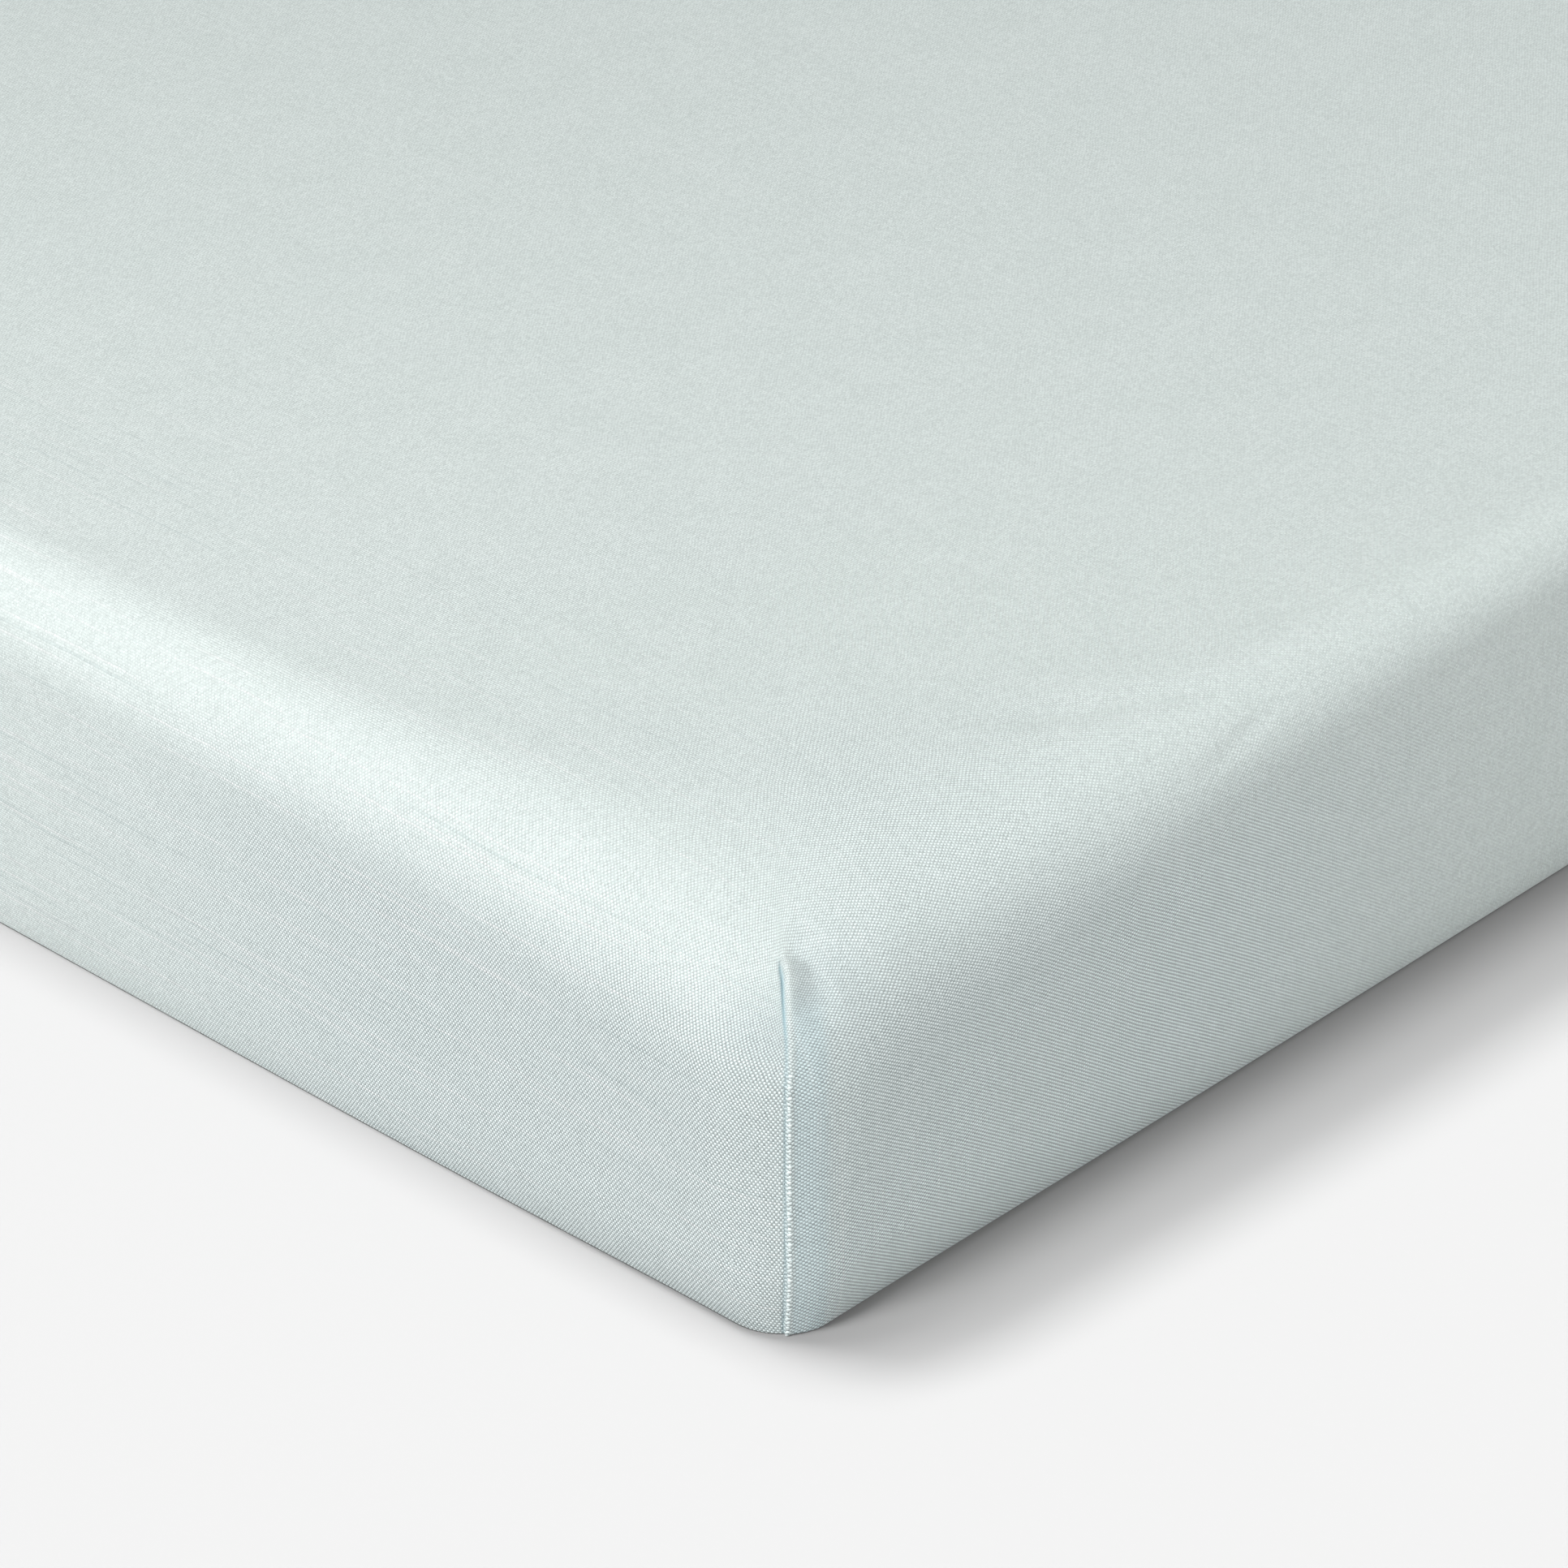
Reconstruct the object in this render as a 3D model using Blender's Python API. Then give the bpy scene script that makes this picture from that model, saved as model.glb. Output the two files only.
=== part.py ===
"""A fitted sheet stretched over a thin cot mattress.

The sheet is one piece of woven cotton, so it is one closed solid: a thin shell over the top, down the four
sides and a little way underneath, where a folded hem runs round a large opening. A dart is sewn up each
corner, and it stands on the cloth as a thin ridge that ends above in a rounded pleat tip. The mattress is a
plain foam block.

Both are swept round the same plan, a rectangle with rounded corners. A station is one place on the way round,
and a row is one line of points that runs all the way round. Metres, +Z up, origin under the middle, on the
floor.
"""

import math

import bpy
from mathutils import Vector

# ---- Driving dimensions -------------------------------------------------------------------------------
LENGTH = 1.200  # over the sheet, along X
WIDTH = 0.600  # over the sheet, along Y
HEIGHT = 0.080  # floor to the top of the sheet

CLOTH = 0.0012  # one layer of cotton
HEM_THICKNESS = 0.0024  # the cloth folded over at its edge
HEM_WIDTH = 0.012
FLAP = 0.068  # how far the cloth reaches under the mattress
FLAP_CORNER = 0.026  # plan rounding of the opening

CORNER_BOX = 0.095  # the corner stations turn about a point this far in from both sides
FOOT_RADIUS = 0.0015  # the cloth turns under in a crisp edge
TUCK_HEIGHT = 0.014  # the hem draws the wall in below this height
TUCK_BEND = 2.3
PLAN_ROUND_TOP = 0.029  # plan radius of the corner at the top ...
PLAN_ROUND_FOOT = 0.011  # ... and at the floor
PLAN_BEND = 0.5
ROUNDEST = 0.97  # a rounding takes at most this share of what is left of the corner box

# The top edge's rounding reaches inward further than it drops. square is the power of its curve, which is an
# ellipse at 2. tuck: how far the wall is drawn in at the floor. These are the sizes right at a corner, where
# the hem pulls hardest; they fall to those of SIDES along each side.
CORNER_SECTION = dict(inward=0.0510, drop=0.0345, square=2.70, tuck=0.0020)
KINK = 0.015  # the change levels off over this distance at a corner

# angle: the way that the side faces; inward to tuck: its section half way along; reach and bend: how that
# grows towards a corner; swell and swells: height and number of the slow waves in it.
SIDES = [
    dict(name="front", angle=-90.0, inward=0.0190, drop=0.0195, square=2.1, tuck=0.0006,
         reach=0.058, bend=1.8, swell=0.0010, swells=7),
    dict(name="end", angle=0.0, inward=0.0110, drop=0.0110, square=2.1, tuck=0.0006,
         reach=0.098, bend=1.5, swell=0.0005, swells=3),
    dict(name="back", angle=90.0, inward=0.0180, drop=0.0185, square=2.1, tuck=0.0006,
         reach=0.064, bend=1.7, swell=0.0010, swells=6),
    dict(name="far_end", angle=180.0, inward=0.0120, drop=0.0125, square=2.1, tuck=0.0006,
         reach=0.090, bend=1.5, swell=0.0005, swells=3),
]

# side_x, side_y: the corner's own sides; size: how much of CORNER_SECTION it takes; dart_top: how far up the
# rounding the dart reaches, in degrees from level; lean: +1 where the seam is laid towards the next side, -1
# the other way.
CORNERS = [
    dict(side_x=1, side_y=-1, size=1.00, dart_top=52.0, lean=1),
    dict(side_x=1, side_y=1, size=0.94, dart_top=55.0, lean=-1),
    dict(side_x=-1, side_y=1, size=1.03, dart_top=50.0, lean=1),
    dict(side_x=-1, side_y=-1, size=0.96, dart_top=53.0, lean=-1),
]

# The dart's profile across the corner, in metres along the cloth, for a seam laid towards +: away is the
# distance from the corner line and rise the height of the cloth there, as a share of the ridge's height.
DART_PROFILE = [
    dict(away=-0.0102, rise=0.00),
    dict(away=-0.0065, rise=0.00),
    dict(away=-0.0026, rise=-0.10),
    dict(away=-0.0010, rise=-0.22),
    dict(away=0.0002, rise=0.95),
    dict(away=0.0018, rise=1.00),
    dict(away=0.0042, rise=0.45),
    dict(away=0.0088, rise=0.28),
    dict(away=0.0130, rise=0.00),
]
DART_RIDGE = 0.0007  # height of the seam down the wall
DART_TIP = 0.0020  # height of the pleat where the seam begins
TIP_RISE = 6.0  # degrees of the rounding in which the pleat comes up ...
TIP_SPAN = 26.0  # ... and in which it sinks to the plain seam

CORNER_STEP = 5.0  # degrees between the plain stations of a corner
NEAR_DART = 0.30  # a plain station nearer to the dart's own than this share of a step is left out
LONG_STATIONS = 15  # stations between two corners along X
SHORT_STATIONS = 9  # and along Y
CROWD = 0.032  # how far a side's stations draw towards its ends, as a share of its length
TOP_ANGLES = [0.0, 9.0, 19.0, 30.0, 41.0, 49.0, 58.0, 68.0, 79.0, 90.0]  # of the top edge's rounding
WALL_HEIGHTS = [0.030, 0.014, 0.0075, 0.0035]  # rows down the wall
FOOT_ANGLES = [0.0, 45.0, 90.0]  # rounding along the floor, from upright

EDGE_GAP = 0.0020  # the cloth stands this clear of the foam round the edges
FLAT_GAP = 0.0004  # and this clear on the flats
MATTRESS_SOFTER = 0.0025  # its top rounding is this much larger, which keeps the gap
MATTRESS_TOP_ANGLES = [0.0, 18.0, 36.0, 54.0, 72.0, 90.0]
MATTRESS_FOOT_RADIUS = 0.004
MATTRESS_CORNER_STEP = 7.5

SHEET_COLOR = (0.800, 0.885, 0.870, 1.0)
FOAM_COLOR = (0.890, 0.880, 0.840, 1.0)


# ---- The plan: stations all the way round -------------------------------------------------------------
def section(side, corner_a, corner_b, from_a, from_b):
    """The section's sizes, from the distances to the two corners that the side runs between."""
    sizes = {key: side[key] for key in CORNER_SECTION}
    for corner, from_it in ((corner_a, from_a), (corner_b, from_b)):
        off = math.hypot(max(from_it, 0.0), KINK) - KINK
        share = math.exp(-((off / side["reach"]) ** side["bend"]))
        for key, most in CORNER_SECTION.items():
            grown = most if key == "square" else most * corner["size"]
            sizes[key] += (grown - side[key]) * share
    along = min(max(from_a / (from_a + from_b), 0.0), 1.0)
    wave = side["swell"] * math.sin(math.pi * along) * math.sin(2.0 * math.pi * side["swells"] * along)
    sizes["inward"] += wave
    sizes["drop"] += wave
    return sizes


def side_length(index):
    return LENGTH if index % 2 == 0 else WIDTH


def station(anchor, angle, alpha, sizes, corner=None, rise=0.0):
    """anchor: the point it runs out from; alpha: its turn round a corner, or None on a straight side."""
    turn = math.radians(angle)
    out = Vector((math.cos(turn), math.sin(turn)))
    return dict(anchor=anchor, out=out, alpha=alpha, corner=corner, rise=rise, **sizes)


def corner_stations(index, step, with_dart):
    """Corner index joins side index to the side after it."""
    corner = CORNERS[index]
    before, after = SIDES[index], SIDES[(index + 1) % 4]
    anchor = Vector(
        (corner["side_x"] * (LENGTH / 2 - CORNER_BOX), corner["side_y"] * (WIDTH / 2 - CORNER_BOX))
    )
    turns = [(step * k, None) for k in range(round(90.0 / step) + 1)]
    if with_dart:
        reach = CORNER_BOX * math.sqrt(2.0) - PLAN_ROUND_FOOT * (math.sqrt(2.0) - 1.0)
        profile = [(45.0 + math.degrees(p["away"] * corner["lean"] / reach), p) for p in DART_PROFILE]
        clear = step * NEAR_DART
        first, last = min(a for a, _ in profile), max(a for a, _ in profile)
        turns = [t for t in turns if not first - clear < t[0] < last + clear]
        turns = sorted(turns + profile, key=lambda t: t[0])
    made = []
    for alpha, ridge in turns:
        if alpha <= 45.0:
            side, near, far = before, corner, CORNERS[(index - 1) % 4]
            away = CORNER_BOX * (1.0 - math.tan(math.radians(alpha)))
            length = side_length(index)
        else:
            side, near, far = after, corner, CORNERS[(index + 1) % 4]
            away = CORNER_BOX * (1.0 - math.tan(math.radians(90.0 - alpha)))
            length = side_length(index + 1)
        sizes = section(side, near, far, away, length - away)
        rise = ridge["rise"] if ridge else 0.0
        made.append(station(anchor, before["angle"] + alpha, alpha, sizes, corner, rise))
    return made


def side_stations(index, count):
    """The stations between the two corners of a side, closer together near its ends."""
    side = SIDES[index]
    start, end = CORNERS[(index - 1) % 4], CORNERS[index]
    length = side_length(index)
    turn = math.radians(side["angle"])
    along = Vector((-math.sin(turn), math.cos(turn)))
    made = []
    for k in range(1, count + 1):
        share = k / (count + 1)
        eased = share - CROWD * math.sin(2.0 * math.pi * share)
        from_start = CORNER_BOX + (length - 2.0 * CORNER_BOX) * eased
        sizes = section(side, start, end, from_start, length - from_start)
        outward = Vector((math.cos(turn), math.sin(turn)))
        across = (WIDTH if index % 2 == 0 else LENGTH) / 2 - CORNER_BOX
        anchor = outward * across + along * (from_start - length / 2)
        made.append(station(anchor, side["angle"], None, sizes))
    return made


def plan(step, long_count, short_count, with_dart):
    """Every station, counter-clockwise from the front side."""
    made = []
    for index in range(4):
        made += side_stations(index, long_count if index % 2 == 0 else short_count)
        made += corner_stations(index, step, with_dart)
    return made


def reach_out(alpha, half, rounding):
    """How far a station reaches to a square's edge, half wide from its middle, whose corner is rounded."""
    if alpha is None:
        return half
    off = math.radians(min(alpha, 90.0 - alpha))
    rounding = min(rounding, half * ROUNDEST)
    flat = half - rounding
    if half * math.tan(off) <= flat:
        return half / math.cos(off)
    to_middle = math.pi / 4 - off
    centre = flat * math.sqrt(2.0)
    side_step = centre * math.sin(to_middle)
    return centre * math.cos(to_middle) + math.sqrt(rounding**2 - side_step**2)


# ---- The section: rows from the top to the hem --------------------------------------------------------
# place: gives a station's inset from the outline, its height and its corner rounding; steep: degrees that the
# cloth has turned down from level; fade: the share of the dart's height that is left there.
def plan_round(height):
    """Plan radius of a corner at a height."""
    share = min(max(height / HEIGHT, 0.0), 1.0)
    return PLAN_ROUND_FOOT + (PLAN_ROUND_TOP - PLAN_ROUND_FOOT) * share**PLAN_BEND


def tucked(spot, height):
    """How far the hem draws the wall in."""
    return spot["tuck"] * max(1.0 - height / TUCK_HEIGHT, 0.0) ** TUCK_BEND


def dart_height(corner, angle):
    """Height of the dart's ridge: nothing above its tip, most at the tip and less down the wall."""
    top = corner["dart_top"]
    if angle <= top:
        return 0.0
    sunk = min((angle - top) / TIP_SPAN, 1.0)
    rise_in = min((angle - top) / TIP_RISE, 1.0)
    return rise_in * (DART_TIP + (DART_RIDGE - DART_TIP) * sunk)


def top_row(angle, side_in, down, softer=0.0):
    """A row of the top rounding, side_in inside the sheet's outline and down below its top."""
    across = max(math.sin(math.radians(angle)), 0.0)
    upright = max(math.cos(math.radians(angle)), 0.0)

    def place(spot):
        power = 2.0 / spot["square"]
        inset = side_in + (spot["inward"] + softer - side_in) * (1.0 - across**power)
        height = HEIGHT - down - (spot["drop"] + softer - down) * (1.0 - upright**power)
        return inset, height, plan_round(height) - side_in

    return dict(place=place, steep=angle, fade=1.0)


def wall_row(height, side_in):
    """A row of the wall."""

    def place(spot):
        return side_in + tucked(spot, height), height, plan_round(height) - side_in

    return dict(place=place, steep=90.0, fade=1.0)


def foot_row(angle, side_in, floor, radius):
    """A row of the rounding along the floor."""
    turn = math.radians(angle)
    height = floor + radius * (1.0 - math.sin(turn))

    def place(spot):
        inset = side_in + radius * (1.0 - math.cos(turn)) + tucked(spot, height)
        return inset, height, plan_round(height) - side_in

    return dict(place=place, steep=90.0, fade=math.cos(turn))


def flat_row(inset, height, rounding):
    """A level row underneath, which the dart doesn't reach."""
    return dict(place=lambda spot: (inset, height, rounding), steep=0.0, fade=0.0)


def ring(stations, row, with_dart):
    """One row's points, all the way round. The dart's ridge stays inside the planes of the straight sides."""
    points = []
    turn = math.radians(row["steep"])
    for spot in stations:
        inset, height, rounding = row["place"](spot)
        reach = reach_out(spot["alpha"], CORNER_BOX - inset, rounding)
        lift = 0.0
        if with_dart and spot["corner"]:
            lift = spot["rise"] * row["fade"] * dart_height(spot["corner"], row["steep"])
        side_plane = reach_out(spot["alpha"], CORNER_BOX, 0.0)
        flat = spot["anchor"] + spot["out"] * min(reach + lift * math.sin(turn), side_plane)
        points.append((flat.x, flat.y, height + lift * math.cos(turn)))
    return points


# ---- Solids -------------------------------------------------------------------------------------------
def material(name, color, roughness):
    made = bpy.data.materials.new(name)
    made.use_nodes = True
    shader = made.node_tree.nodes["Principled BSDF"]
    shader.inputs["Base Color"].default_value = color
    shader.inputs["Roughness"].default_value = roughness
    shader.inputs["Metallic"].default_value = 0.0
    made.diffuse_color = color
    return made


def solid(name, rings, paint):
    """Joins the rings in turn, and fills the first and the last."""
    count = len(rings[0])
    points = [p for one in rings for p in one]
    faces = []
    for row in range(len(rings) - 1):
        low, high = row * count, (row + 1) * count
        for k in range(count):
            after = (k + 1) % count
            faces.append((low + k, high + k, high + after, low + after))
    faces.append(tuple(range(count)))
    faces.append(tuple(reversed(range((len(rings) - 1) * count, len(rings) * count))))
    mesh = bpy.data.meshes.new(name)
    mesh.from_pydata(points, [], faces)
    mesh.materials.append(paint)
    mesh.shade_smooth()
    mesh.set_sharp_from_angle(angle=math.radians(40.0))
    made = bpy.data.objects.new(name, mesh)
    bpy.context.scene.collection.objects.link(made)
    return made


def fitted_sheet():
    """The shell: its outer skin from the top down to the hem's edge, and its inner skin back up."""
    stations = plan(CORNER_STEP, LONG_STATIONS, SHORT_STATIONS, with_dart=True)
    hem_start = FLAP - HEM_WIDTH
    outer = [top_row(a, 0.0, 0.0) for a in TOP_ANGLES]
    outer += [wall_row(height, 0.0) for height in WALL_HEIGHTS]
    outer += [foot_row(a, 0.0, 0.0, FOOT_RADIUS) for a in FOOT_ANGLES]
    outer += [flat_row(hem_start, 0.0, FLAP_CORNER), flat_row(FLAP, 0.0, FLAP_CORNER)]
    inner = [flat_row(FLAP, HEM_THICKNESS, FLAP_CORNER), flat_row(hem_start, HEM_THICKNESS, FLAP_CORNER)]
    inner += [flat_row(hem_start - HEM_THICKNESS, CLOTH, FLAP_CORNER)]
    inner += [foot_row(90.0, CLOTH, CLOTH, FOOT_RADIUS - CLOTH)]
    inner += [wall_row(height, CLOTH) for height in reversed(WALL_HEIGHTS)]
    inner += [top_row(a, CLOTH, CLOTH) for a in reversed(TOP_ANGLES)]
    rings = [ring(stations, row, with_dart=True) for row in outer]
    rings += [ring(stations, row, with_dart=False) for row in inner]
    return solid("fitted_sheet", rings, material("sheet_cotton", SHEET_COLOR, 0.75))


def mattress():
    """The foam block, a little inside the sheet's inner skin all round, resting above the hem."""
    stations = plan(MATTRESS_CORNER_STEP, LONG_STATIONS // 2, SHORT_STATIONS // 2, with_dart=False)
    side_in = CLOTH + EDGE_GAP
    down = CLOTH + FLAT_GAP
    floor = HEM_THICKNESS + FLAT_GAP
    rows = [top_row(a, side_in, down, MATTRESS_SOFTER) for a in MATTRESS_TOP_ANGLES]
    rows += [wall_row(height, side_in) for height in WALL_HEIGHTS[:2]]
    rows += [foot_row(a, side_in, floor, MATTRESS_FOOT_RADIUS) for a in FOOT_ANGLES]
    rings = [ring(stations, row, with_dart=False) for row in rows]
    return solid("mattress", rings, material("mattress_foam", FOAM_COLOR, 0.90))


def main():
    for old in list(bpy.data.objects):
        bpy.data.objects.remove(old, do_unlink=True)
    fitted_sheet()
    mattress()


main()
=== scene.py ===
# %% [markdown]
# # A fitted sheet on a thin cot mattress
# The real object is one piece of woven cotton, pulled over a foam block. The cloth is taut, so there are few
# folds: its character is in the soft roundings, in the dart that is sewn up each corner, and in the weave.
# The lesson builds the cloth row by row as one surface, lets the yarns follow it through its UV map, and adds
# the stitches with Geometry Nodes.

import math
from functools import partial

import bpy
import numpy as np
from mathutils import Matrix, Vector


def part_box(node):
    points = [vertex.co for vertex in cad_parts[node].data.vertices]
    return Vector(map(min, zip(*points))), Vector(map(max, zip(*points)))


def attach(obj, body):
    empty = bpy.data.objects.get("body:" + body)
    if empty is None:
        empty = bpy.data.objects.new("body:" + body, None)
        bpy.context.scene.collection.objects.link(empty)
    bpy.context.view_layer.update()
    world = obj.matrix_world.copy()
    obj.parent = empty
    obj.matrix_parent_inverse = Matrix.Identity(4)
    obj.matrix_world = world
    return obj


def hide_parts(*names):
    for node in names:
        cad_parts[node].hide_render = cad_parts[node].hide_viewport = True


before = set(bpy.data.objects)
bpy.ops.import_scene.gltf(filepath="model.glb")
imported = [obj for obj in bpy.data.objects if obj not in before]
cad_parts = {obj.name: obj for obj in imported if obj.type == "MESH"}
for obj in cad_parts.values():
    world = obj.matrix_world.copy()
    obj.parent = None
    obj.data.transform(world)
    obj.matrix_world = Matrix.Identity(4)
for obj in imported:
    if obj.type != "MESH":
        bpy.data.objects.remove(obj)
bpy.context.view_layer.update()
sheet_low, sheet_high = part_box("fitted_sheet")
foam_low, foam_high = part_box("mattress")
LENGTH = sheet_high[0] - sheet_low[0]
WIDTH = sheet_high[1] - sheet_low[1]
HEIGHT = sheet_high[2]
MM = 0.001
print(f"sheet {LENGTH / MM:.1f} x {WIDTH / MM:.1f} x {HEIGHT / MM:.1f} mm")


# %% Helpers: new meshes and objects, a soft step and a direction
def shape(name, spots, edges, faces):
    made = bpy.data.meshes.new(name)
    made.from_pydata(spots, edges, faces)
    return made


def placed(name, data):
    """A new object in the scene, left at the origin."""
    made = bpy.data.objects.new(name, data)
    bpy.context.scene.collection.objects.link(made)
    return made


def smooth(low, high, value):
    """0 at low and before it, 1 at high and beyond, with a soft start and end."""
    t = np.clip((value - low) / (high - low), 0, 1)
    return t * t * (3 - 2 * t)


def facing(degrees):
    """Unit vectors that way and a quarter turn on, on the floor's plane."""
    out = np.array([math.cos(math.radians(degrees)), math.sin(math.radians(degrees))])
    return out, np.array([-out[1], out[0]])


# %% [markdown]
# ## The section of the cloth
# Every part of the edge has the same section: flat top, a rounding, a wall that is tucked in a little near
# the floor, a narrow turn and a flap underneath. The rounding reaches further in than down and grows towards
# the corners, where the hem pulls hardest, so it is a rule with a short table for the four sides.

# %% Sizes of the section
CLOTH = 1.2 * MM
HEM_THICKNESS = 2.4 * MM
HEM_WIDTH = 12 * MM
FLAP = 68 * MM
FLAP_CORNER = 26 * MM
CORNER_BOX = 95 * MM  # the corners turn about a point this far in from both sides
CORNER_SECTION = dict(inward=51.0, drop=34.5, square=2.70, tuck=2.0)  # at a corner, in mm but for square
FOOT_RADIUS = 0.5 * MM
TUCK_HEIGHT = 14 * MM
TUCK_BEND = 2.3
PLAN_ROUND_TOP = 29 * MM  # plan radius of the corner at the top, and of its tighter foot
PLAN_ROUND_FOOT = 11 * MM
PLAN_BEND = 0.5
ROUNDEST = 0.97  # the largest share of its half width that a row's corner is rounded by
KINK = 15 * MM  # a corner's swelling levels off over this distance

# The front, the end, the back and the far end: the way each faces in degrees, its section half way along in
# mm, and how that grows towards a corner. square is the power of the rounding's curve, an ellipse at 2.
SIDES = [
    dict(faces=-90, inward=19.0, drop=19.5, square=2.1, tuck=0.6,
         reach=58, bend=1.8, swell=1.0, swells=7),
    dict(faces=0, inward=11.0, drop=11.0, square=2.1, tuck=0.6,
         reach=98, bend=1.5, swell=0.5, swells=3),
    dict(faces=90, inward=18.0, drop=18.5, square=2.1, tuck=0.6,
         reach=64, bend=1.7, swell=1.0, swells=6),
    dict(faces=180, inward=12.0, drop=12.5, square=2.1, tuck=0.6,
         reach=90, bend=1.5, swell=0.5, swells=3),
]
SIDE_LENGTHS = [LENGTH, WIDTH, LENGTH, WIDTH]
# Each corner's place, how much of the swelling it has, how far round its pleat's tip is in degrees, and the
# way its seam is laid
CORNERS = [
    dict(x=1, y=-1, size=1.00, tip=52, lean=1),
    dict(x=1, y=1, size=0.94, tip=55, lean=-1),
    dict(x=-1, y=1, size=1.03, tip=50, lean=1),
    dict(x=-1, y=-1, size=0.96, tip=53, lean=-1),
]


def section(side, corner_a, corner_b, from_a, from_b):
    """Inward reach, drop, square and tuck, from the distances to the corners at both ends of the side."""
    plain = np.array([side[key] for key in CORNER_SECTION])
    values = plain
    for corner, from_it in ((corner_a, from_a), (corner_b, from_b)):
        off = math.hypot(max(from_it, 0.0), KINK) - KINK
        share = math.exp(-((off / (side["reach"] * MM)) ** side["bend"]))
        most = np.array(list(CORNER_SECTION.values())) * [corner["size"], corner["size"], 1.0, corner["size"]]
        values = values + (most - plain) * share
    along = min(max(from_a / (from_a + from_b), 0.0), 1.0)
    wave = math.sin(math.pi * along) * math.sin(2 * math.pi * side["swells"] * along)
    return values * [MM, MM, 1.0, MM] + side["swell"] * MM * wave * np.array([1.0, 1.0, 0.0, 0.0])


# %% [markdown]
# ## Stations round the edge
# A station is one place on the way round. On a straight side it looks straight out. At a corner the stations
# fan out from one point, and they crowd together at the seam, where the pleat and the folded seam need fine
# faces. The near corner, which the camera looks at, gets the most.

# %% Steps that grow
def growing(first, growth, most, total):
    """Distances from 0 to total, whose steps grow from first up to most."""
    steps = [first]
    while sum(steps) < total:
        steps.append(min(steps[-1] * growth, most))
    marks = np.concatenate([[0.0], np.cumsum(steps)])
    return marks * total / marks[-1]


near_long = growing(4.0 * MM, 1.020, 17 * MM, LENGTH - 2 * CORNER_BOX)
near_short = growing(4.0 * MM, 1.020, 15 * MM, WIDTH - 2 * CORNER_BOX)
grid_x = np.sort(LENGTH / 2 - CORNER_BOX - near_long)
grid_y = np.sort(near_short - (WIDTH / 2 - CORNER_BOX))
SEAM_REACH = CORNER_BOX * math.sqrt(2) - PLAN_ROUND_FOOT * (math.sqrt(2) - 1)
HALF_ARC = math.radians(45) * SEAM_REACH
near_steps = growing(0.17 * MM, 1.10, 3.6 * MM, HALF_ARC)
far_steps = growing(0.7 * MM, 1.30, 6.0 * MM, HALF_ARC)
print(len(grid_x), "by", len(grid_y), "lines on top,", 2 * len(near_steps) - 1, "stations at the near corner")


# %% All the stations, counter-clockwise from the front
def make_stations():
    """Each row: place, outward way, degrees in the corner, side, corner, way to the seam, lean, section."""
    rows = []
    for index, side in enumerate(SIDES):
        before, corner = CORNERS[index - 1], CORNERS[index]
        out, along = facing(side["faces"])
        length, across = SIDE_LENGTHS[index], SIDE_LENGTHS[index - 1] / 2 - CORNER_BOX
        marks = grid_x if index % 2 == 0 else grid_y
        spots = marks[1:-1] if along.sum() > 0 else -marks[1:-1][::-1]
        for spot in spots:
            bend = section(side, before, corner, spot + length / 2, length / 2 - spot)
            rows.append((*(out * across + along * spot), *out, math.nan, index, -1, 0.0, 1.0, *bend))
        rows += corner_stations(index)
    return np.array(rows)


def corner_stations(index):
    """The same for one corner, from one side round to the next."""
    corner, after = CORNERS[index], SIDES[(index + 1) % 4]
    side, following, previous = SIDES[index], CORNERS[(index + 1) % 4], CORNERS[index - 1]
    steps = near_steps if index == 0 else far_steps
    anchor = (corner["x"] * (LENGTH / 2 - CORNER_BOX), corner["y"] * (WIDTH / 2 - CORNER_BOX))
    made = []
    for away in np.concatenate([-steps[:0:-1], steps]):
        alpha = 45 + math.degrees(away / SEAM_REACH)
        off = math.tan(math.radians(min(alpha, 90 - alpha)))
        from_corner = CORNER_BOX * (1 - off)
        runs, other = (side, previous) if alpha <= 45 else (after, following)
        length = SIDE_LENGTHS[SIDES.index(runs)]
        bend = section(runs, corner, other, from_corner, length - from_corner)
        out, along = facing(side["faces"] + alpha)
        made.append((*anchor, *out, alpha, index, index, away, corner["lean"], *bend))
    return made


table = make_stations()
anchor_xy, out_xy = table[:, 0:2], table[:, 2:4]
alpha, side_of, corner_of, away, lean = table[:, 4:9].T
inward, drop, square, tuck = table[:, 9:13].T
at_corner = corner_of >= 0
COUNT = len(table)
print(COUNT, "stations")

# %% [markdown]
# ## Rows down the cloth
# A row is one line of points that runs all the way round. The first ones cross the flat top, the next follow
# the rounding, then come the wall, the rounding at the floor and the flap. Two lists of rows make the outer
# and the inner face of the same cloth, and the folded hem joins them.

# %% How far a station reaches
off_axis = np.radians(np.where(at_corner, np.minimum(alpha, 90 - alpha), 0.0))


def reach_out(half, radius):
    """From the corner's middle to the edge of a square, half wide, whose corner is rounded."""
    radius = np.minimum(radius, half * ROUNDEST)
    flat = half - radius
    centre = flat * math.sqrt(2)
    beside = centre * np.sin(math.pi / 4 - off_axis)
    arc = centre * np.cos(math.pi / 4 - off_axis) + np.sqrt(np.maximum(radius**2 - beside**2, 0))
    return np.where(half * np.tan(off_axis) <= flat, half / np.cos(off_axis), arc)


def plan_round(height):
    """Plan radius of a corner, which is wider at the top."""
    return PLAN_ROUND_FOOT + (PLAN_ROUND_TOP - PLAN_ROUND_FOOT) * np.clip(height / HEIGHT, 0, 1) ** PLAN_BEND


def tucked(height):
    """How far the wall is drawn in near the floor."""
    return tuck * np.clip(1 - height / TUCK_HEIGHT, 0, 1) ** TUCK_BEND


def points(reach, height):
    """One row: a point for each station, this far out from where the station turns."""
    plan = anchor_xy + out_xy * np.broadcast_to(reach, COUNT)[:, None]
    return np.column_stack([plan, np.broadcast_to(height, COUNT)])


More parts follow.
